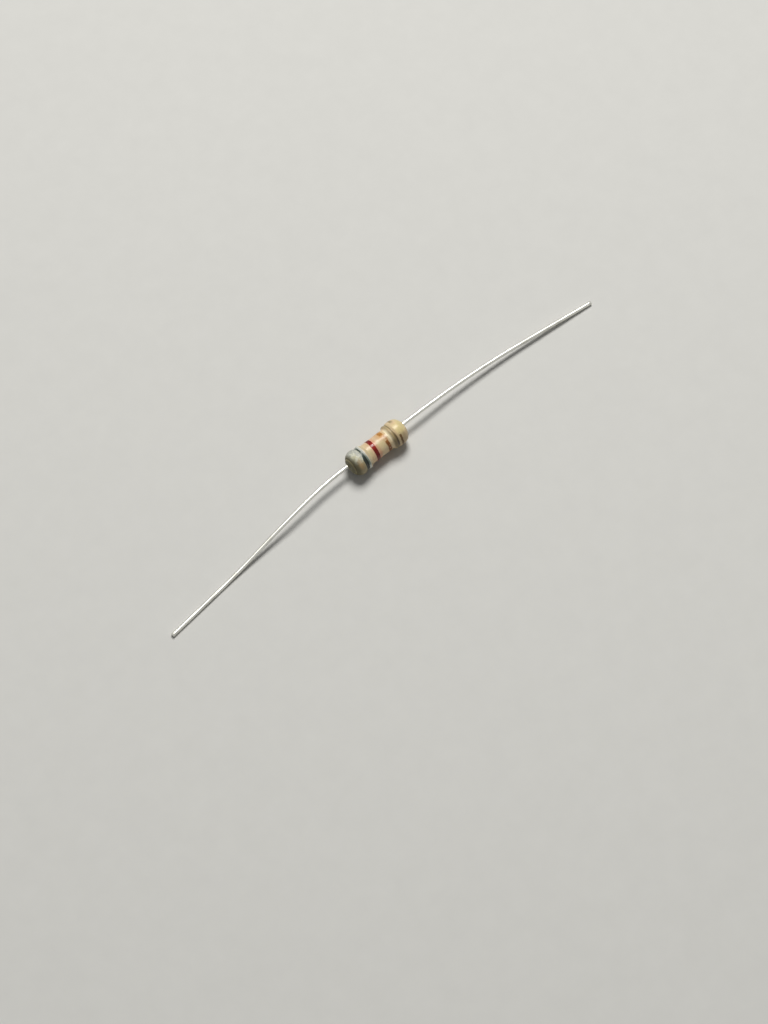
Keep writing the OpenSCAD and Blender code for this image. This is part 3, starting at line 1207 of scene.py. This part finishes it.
    @staticmethod
    def _cleaned(tree: Former, sheet: Quantity) -> Quantity:
        """Clears a worn sheet of faces that touch at one corner only, and of loose flakes.

        Args:
            tree: The tree.
            sheet: The sheet, a grid with holes.

        Returns:
            The sheet, with every edge between one or two faces and no island of a few cells.
        """
        for _ in range(ColourRings.passes):
            points, faces = tree.takes("GeometryNodeInputMeshVertexNeighbors",
                                       ("Vertex Count", "Face Count"))
            is_four, is_two = (tree.maths("COMPARE", found, wanted, 0.1)
                               for found, wanted in ((points, 4.0), (faces, 2.0)))
            sheet = tree.without(sheet, is_four * is_two)
        island = tree.take("GeometryNodeInputMeshIsland", "Island Index")
        settings = {"data_type": "INT", "domain": "POINT"}
        points = tree.take("GeometryNodeAccumulateField", "Total", settings,
                           {"Value": 1, "Group Index": island})
        return tree.without(sheet, tree.maths("LESS_THAN", points, ColourRings.flake))

    def build(self) -> list[tuple[PaintRing, bpy.types.Object]]:
        """Lays every ring."""
        former = self.former()
        empty = bpy.data.meshes.new("paint_base")
        radius = self.solids.axis_z * self.mean_radius
        made = []
        for ring in self.rings:
            sheet = ring.width + 2 * self.margin
            lengths = {
                "Axis Height": self.solids.axis_z, "Radius": radius, "Middle": ring.middle,
                "Lean": ring.lean, "Sheet Width": sheet, "Ring Width": ring.width,
                "Thin": ring.thin, "Streak": ring.streak, "Ragged": ring.ragged * 2,
                "Fade": ring.fade, "Thickness": self.thickness, "Sink": self.sink,
                "Reach": self.reach,
            }
            values = {
                **{name: length * MM for name, length in lengths.items()},
                "Lacquer": self.coat, "Rows": round(sheet / self.cell) + 1,
                "Columns": round(math.tau * radius / self.cell) + 1,
                "Thin At": ring.thin_at, "Thin Sweep": ring.thin_sweep, "Gap At": ring.gap_at,
                "Gap": ring.gap, "Rub": ring.rub, "Ragged Grain": ring.ragged_grain,
                "Wear": ring.wear, "Seed": ring.seed, "Material": ring.finish.material(),
            }
            made.append((ring, former.form(ring.name, empty.copy(), values)))
        return made


# ---- the leads ----


class Toward(Enum):
    """Which way a wire is bent, in degrees round it as seen along it."""

    UP = 0
    RIGHT_FRONT = 90
    DOWN = 180
    LEFT_FRONT = 270


@dataclass
class WirePath:
    """The middle line of a bent wire, drawn step by step like the wire was bent."""

    start: Vector
    axes: Matrix
    step: float = 0.35
    points: list[Vector] = field(default_factory=list)

    def __post_init__(self) -> None:
        """Puts the first point in place."""
        self.place = self.start.copy()
        self.points.append(self.place.copy())

    def run(self, length: float) -> WirePath:
        """Draws a straight stretch."""
        ahead = self.axes.col[2]
        count = max(round(length / self.step), 1)
        self.points += [self.place + ahead * (length * i / count) for i in range(1, count + 1)]
        self.place = self.points[-1].copy()
        return self

    def bend(self, radius: float, angle: float, toward: Toward) -> WirePath:
        """Draws a bend.

        Args:
            radius: The bend's radius.
            angle: How far it turns, in degrees.
            toward: The direction of the turn.

        Returns:
            The path.
        """
        turn = math.radians(toward.value)
        inward = self.axes.col[0] * math.cos(turn) + self.axes.col[1] * math.sin(turn)
        hinge = self.axes.col[2].cross(inward)
        centre = self.place + inward * radius
        full = math.radians(angle)
        count = max(round(radius * full / self.step), 2)
        arm = self.place - centre
        for i in range(1, count + 1):
            self.points.append(centre + Matrix.Rotation(full * i / count, 3, hinge) @ arm)
        self.place = self.points[-1].copy()
        self.axes = Matrix.Rotation(full, 3, hinge) @ self.axes
        return self


@dataclass
class Leads:
    """The two tinned wires, each with its weld flare, bends and cut tip."""

    solids: Solids
    wire: Wire = Wire()
    length: float = 30.0
    root: float = 1.0
    left_turn: float = 6.4
    left_turn_r: float = 42.0
    left_level: float = 0.3
    left_drop: float = 8.0
    left_drop_r: float = 42.0
    right_drop_r: float = 60.0
    right_level: float = 1.2
    right_turn: float = 6.0
    right_turn_r: float = 134.0
    burr: float = 0.03
    sides: int = 40
    rounds: int = 12

    def _to_body_end(self) -> float:
        """Gives the length of wire between its cap and the body's end."""
        return self.solids.half - self.solids.cap_end

    def left_path(self) -> WirePath:
        """Draws the left wire, which drops to the floor in two bends and then lies on it."""
        drop = self.solids.axis_z - self.wire.radius
        slope = math.radians(self.left_drop)
        fall = (drop - 2 * self.left_drop_r * (1 - math.cos(slope))) / math.sin(slope)
        bent = math.radians(self.left_turn) * self.left_turn_r + 2 * slope * self.left_drop_r
        tail = self.length - self.root - self.left_level - fall - bent
        axes = Matrix(((0, 0, -1), (0, 1, 0), (1, 0, 0)))
        path = WirePath(Vector((-self.solids.cap_end, self.wire.off, self.solids.axis_z)), axes)
        path.run(self._to_body_end()).run(self.root)
        path.bend(self.left_turn_r, self.left_turn, Toward.LEFT_FRONT).run(self.left_level)
        path.bend(self.left_drop_r, self.left_drop, Toward.DOWN).run(fall)
        return path.bend(self.left_drop_r, self.left_drop, Toward.UP).run(tail)

    def right_path(self) -> WirePath:
        """Draws the right wire, which slopes down until its tip lies on the floor."""
        drop = self.solids.axis_z - self.wire.radius
        turn = math.radians(self.right_turn)
        slope = 0.0
        for _ in range(self.rounds):
            tail = (self.length - self.root - self.right_level - self.right_drop_r * slope
                    - self.right_turn_r * turn)
            reach = self.right_level + self.right_turn_r * math.sin(turn) + tail * math.cos(turn)
            slope = math.asin((drop - self.right_drop_r * (1 - math.cos(slope))) / reach)
        axes = Matrix(((0, 0, 1), (0, -1, 0), (1, 0, 0)))
        path = WirePath(Vector((self.solids.cap_end, self.wire.off, self.solids.axis_z)), axes)
        path.run(self._to_body_end()).run(self.root)
        path.bend(self.right_drop_r, math.degrees(slope), Toward.DOWN).run(self.right_level)
        return path.bend(self.right_turn_r, self.right_turn, Toward.RIGHT_FRONT).run(tail)

    def base(self, name: str, path: WirePath) -> bpy.types.Mesh:
        """Makes a wire's middle line as a chain of edges, with the wire's radius at each point.

        Args:
            name: The mesh's name.
            path: The drawn path.

        Returns:
            The mesh.
        """
        first, second, *rest = path.points
        ahead = (second - first).normalized()
        back = (rest[-1] - rest[-2]).normalized()
        line = [first, first + ahead * self.wire.weld_len, second, *rest]
        line.insert(-1, line[-1] - back * self.burr)
        radii = [self.wire.radius] * len(line)
        radii[0] = self.wire.weld_r
        radii[-1] = self.wire.radius - self.burr
        mesh = bpy.data.meshes.new(name)
        mesh.from_pydata([p * MM for p in line], [(i, i + 1) for i in range(len(line) - 1)], [])
        marked(mesh, "thick", [r * MM for r in radii])
        return mesh

    @staticmethod
    def former() -> Former:
        """Builds the tree that sweeps a round wire along its middle line."""
        tree = Former("drawn_wire")
        sides = tree.asks("Sides", "Int")
        line = tree.step("GeometryNodeMeshToCurve", tree.base)
        line = tree.keep(line, "along", tree.take("GeometryNodeSplineParameter", "Length"))
        circle = tree.take("GeometryNodeCurvePrimitiveCircle", "Curve", {"mode": "RADIUS"},
                           {"Resolution": sides, "Radius": 1.0})
        circle = tree.keep(circle, "around", tree.take("GeometryNodeSplineParameter", "Factor"))
        tree.close(tree.step("GeometryNodeCurveToMesh", line, None, {
            "Profile Curve": circle, "Scale": tree.named("thick"), "Fill Caps": True}))
        return tree

    def build(self, material: bpy.types.Material) -> dict[str, bpy.types.Object]:
        """Forms both wires.

        Args:
            material: The wires' material.

        Returns:
            Each wire under the name of the solid that it stands for.
        """
        former = self.former()
        values = {"Sides": self.sides, "Material": material}
        paths = {"left_lead": self.left_path(), "right_lead": self.right_path()}
        return {node: former.form(f"tinned_{node}", self.base(f"{node}_line", path), values)
                for node, path in paths.items()}


# ---- floor, lamps and camera ----


@dataclass
class Studio:
    """A pale floor, a soft key lamp from the far side, and the camera."""

    aim: tuple[float, float, float] = (-5.03, -7.2, 1.7)
    reach: float = 299.03
    heading: float = 40.70
    pitch: float = 64.53
    lens: float = 116.6
    sensor: float = 36.0
    floor_half: float = 3000.0
    key_height: float = 62.0
    key_away: float = 600.0
    key_size: float = 280.0
    key_power: float = 3.25
    key_colour: tuple[float, float, float] = (1.0, 0.985, 0.95)
    sky: float = 0.17
    backdrop: float = 0.62

    def _heading(self) -> Vector:
        """Gives the camera's level direction."""
        turn = math.radians(self.heading)
        return Vector((math.sin(turn), math.cos(turn), 0))

    def camera(self) -> None:
        """Makes the camera."""
        slope = math.radians(self.pitch)
        forward = self._heading() * math.cos(slope) - Vector((0, 0, math.sin(slope)))
        data = bpy.data.cameras.new("camera")
        data.lens = self.lens
        data.sensor_width = self.sensor
        data.sensor_fit = "HORIZONTAL"
        data.clip_start, data.clip_end = 0.01, 20.0
        camera = placed("camera", data)
        camera.location = (Vector(self.aim) - forward * self.reach) * MM
        camera.rotation_euler = (math.pi / 2 - slope, 0, -math.radians(self.heading))
        bpy.context.scene.camera = camera

    def floor(self) -> None:
        """Makes the floor."""
        half = self.floor_half * MM
        mesh = bpy.data.meshes.new("floor")
        mesh.from_pydata([(-half, -half, 0), (half, -half, 0), (half, half, 0), (-half, half, 0)],
                         [], [(0, 1, 2, 3)])
        finish = FloorFinish("pale_floor", body=tint(206, 206, 203), light=tint(214, 214, 211),
                             grain=2.5, rough=0.75, depth=0.01, backdrop=self.backdrop)
        mesh.materials.append(finish.material())
        floor = placed("floor", mesh)

    def lamps(self) -> None:
        """Makes the key lamp and the sky."""
        rise = math.radians(self.key_height)
        toward = self._heading() * math.cos(rise) + Vector((0, 0, math.sin(rise)))
        data = bpy.data.lights.new("key", "AREA")
        data.shape = "DISK"
        data.size = self.key_size * MM
        data.energy = self.key_power
        data.color = self.key_colour
        key = placed("key", data)
        key.location = toward * (self.key_away * MM)
        key.rotation_euler = toward.to_track_quat("Z", "Y").to_euler()
        world = bpy.data.worlds.new("sky")
        world.use_nodes = True
        world.node_tree.nodes.clear()
        graph = Graph(world.node_tree)
        camera, glossy, through = graph.takes("ShaderNodeLightPath", (
            "Is Camera Ray", "Is Glossy Ray", "Is Transmission Ray"))
        seen = camera.most(glossy).most(through)
        inputs = {"Color": BACKDROP, "Strength": seen * (self.backdrop - self.sky) + self.sky}
        sky = graph.take("ShaderNodeBackground", "Background", None, inputs)
        graph.node("ShaderNodeOutputWorld", None, {"Surface": sky})
        bpy.context.scene.world = world
        bpy.context.scene.view_settings.view_transform = "Standard"

    def build(self) -> None:
        """Makes all of it."""
        self.camera()
        self.floor()
        self.lamps()


# ---- the whole resistor ----


@dataclass
class Resistor:
    """The dressed resistor: lacquer, rings and leads outside, and its sealed pieces inside."""

    solids: Solids

    def _show(self, piece: bpy.types.Object, node: str) -> None:
        """Seats a piece in the frame.

        Args:
            piece: The finished piece.
            node: The solid that it stands for.
        """
        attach(piece, ROOT)
        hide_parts(node)
        LOG.info("%s stands for %s: %d faces", piece.name, node, len(piece.data.polygons))

    def outside(self) -> None:
        """Builds what shows."""
        axis_z = self.solids.axis_z
        coat = LacquerCoat(self.solids).build(LacquerFinish("aged_lacquer", axis_z).material())
        rings = ColourRings(self.solids, coat, self._rings()).build()
        wires = Leads(self.solids).build(WireFinish("tinned_wire").material())
        self._show(coat, "coating")
        for ring, piece in rings:
            self._show(piece, ring.node)
        for node, wire in wires.items():
            self._show(wire, node)

    def _rings(self) -> list[PaintRing]:
        """Lists the rings from left to right."""
        axis_z = self.solids.axis_z
        # Each paint's third colour is its painted highlight on top, and its fourth is its painted
        # shade in front.
        grey = PaintFinish("paint_blue_grey", axis_z, tint(34, 52, 47), tint(72, 92, 86),
                           tint(58, 76, 72), tint(26, 36, 34), 0.97, 0.34)
        red = PaintFinish("paint_red", axis_z, tint(112, 15, 4), tint(134, 26, 10),
                          tint(172, 32, 17), tint(110, 14, 3), 1.0, 0.2)
        orange = PaintFinish("paint_orange", axis_z, tint(166, 108, 38), tint(192, 136, 62),
                             tint(184, 124, 52), tint(122, 66, 14), 0.94, 0.34)
        gold = PaintFinish("paint_gold", axis_z, tint(146, 126, 88), tint(160, 144, 110),
                           tint(150, 130, 92), tint(92, 62, 20), 0.9, 0.4)
        return [
            PaintRing("band_1", "paint_ring_blue_grey", -2.58, 0.6, grey, "paint_grey",
                      thin_at=36.0, thin_sweep=72.0, thin=0.3, ragged=0.07, fade=0.08, seed=1.0),
            PaintRing("band_2", "paint_ring_red", -0.72, 0.56, red, "paint_red", lean=0.05,
                      ragged=0.025, fade=0.04, seed=2.0),
            PaintRing("band_3", "paint_ring_orange", 1.03, 0.68, orange, "paint_orange",
                      lean=-0.05, gap_at=95.0, gap=28.0, streak=0.16, ragged=0.22, ragged_grain=0.42,
                      fade=0.26, wear=0.22, seed=3.0),
            PaintRing("band_4", "paint_ring_gold", 2.95, 0.46, gold, "paint_gold", lean=0.12,
                      gap_at=91.0, gap=64.0, rub=78.0, ragged=0.16, ragged_grain=0.4, fade=0.18,
                      wear=0.25, seed=4.0),
        ]

    def inside(self) -> None:
        """Gives the sealed solids their finishes."""
        steel = PlainFinish("cap_steel", tint(150, 150, 146), tint(186, 186, 180), 0.2, 0.32, 1.0)
        ceramic = PlainFinish("fired_ceramic", tint(222, 216, 200), tint(240, 236, 224), 0.15, 0.7)
        carbon = PlainFinish("carbon_film", tint(30, 30, 32), tint(48, 48, 50), 0.1, 0.55)
        finishes = {"left_cap": steel, "right_cap": steel, "ceramic_core": ceramic,
                    "carbon_film": carbon}
        made = {finish.name: finish.material() for finish in finishes.values()}
        for node, finish in finishes.items():
            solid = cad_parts[node]
            solid.data.materials.clear()
            solid.data.materials.append(made[finish.name])
            LOG.info("%s keeps its solid, in %s", node, finish.name)

    def build(self) -> None:
        """Builds the outside and dresses the inside."""
        self.outside()
        self.inside()


def main() -> None:
    """Builds the studio and the resistor."""
    logging.basicConfig(level=logging.INFO, format="%(name)s: %(message)s")
    Studio().build()
    Resistor(Solids.measured(LacquerCoat.meniscus)).build()


if __name__ == "__main__":
    main()
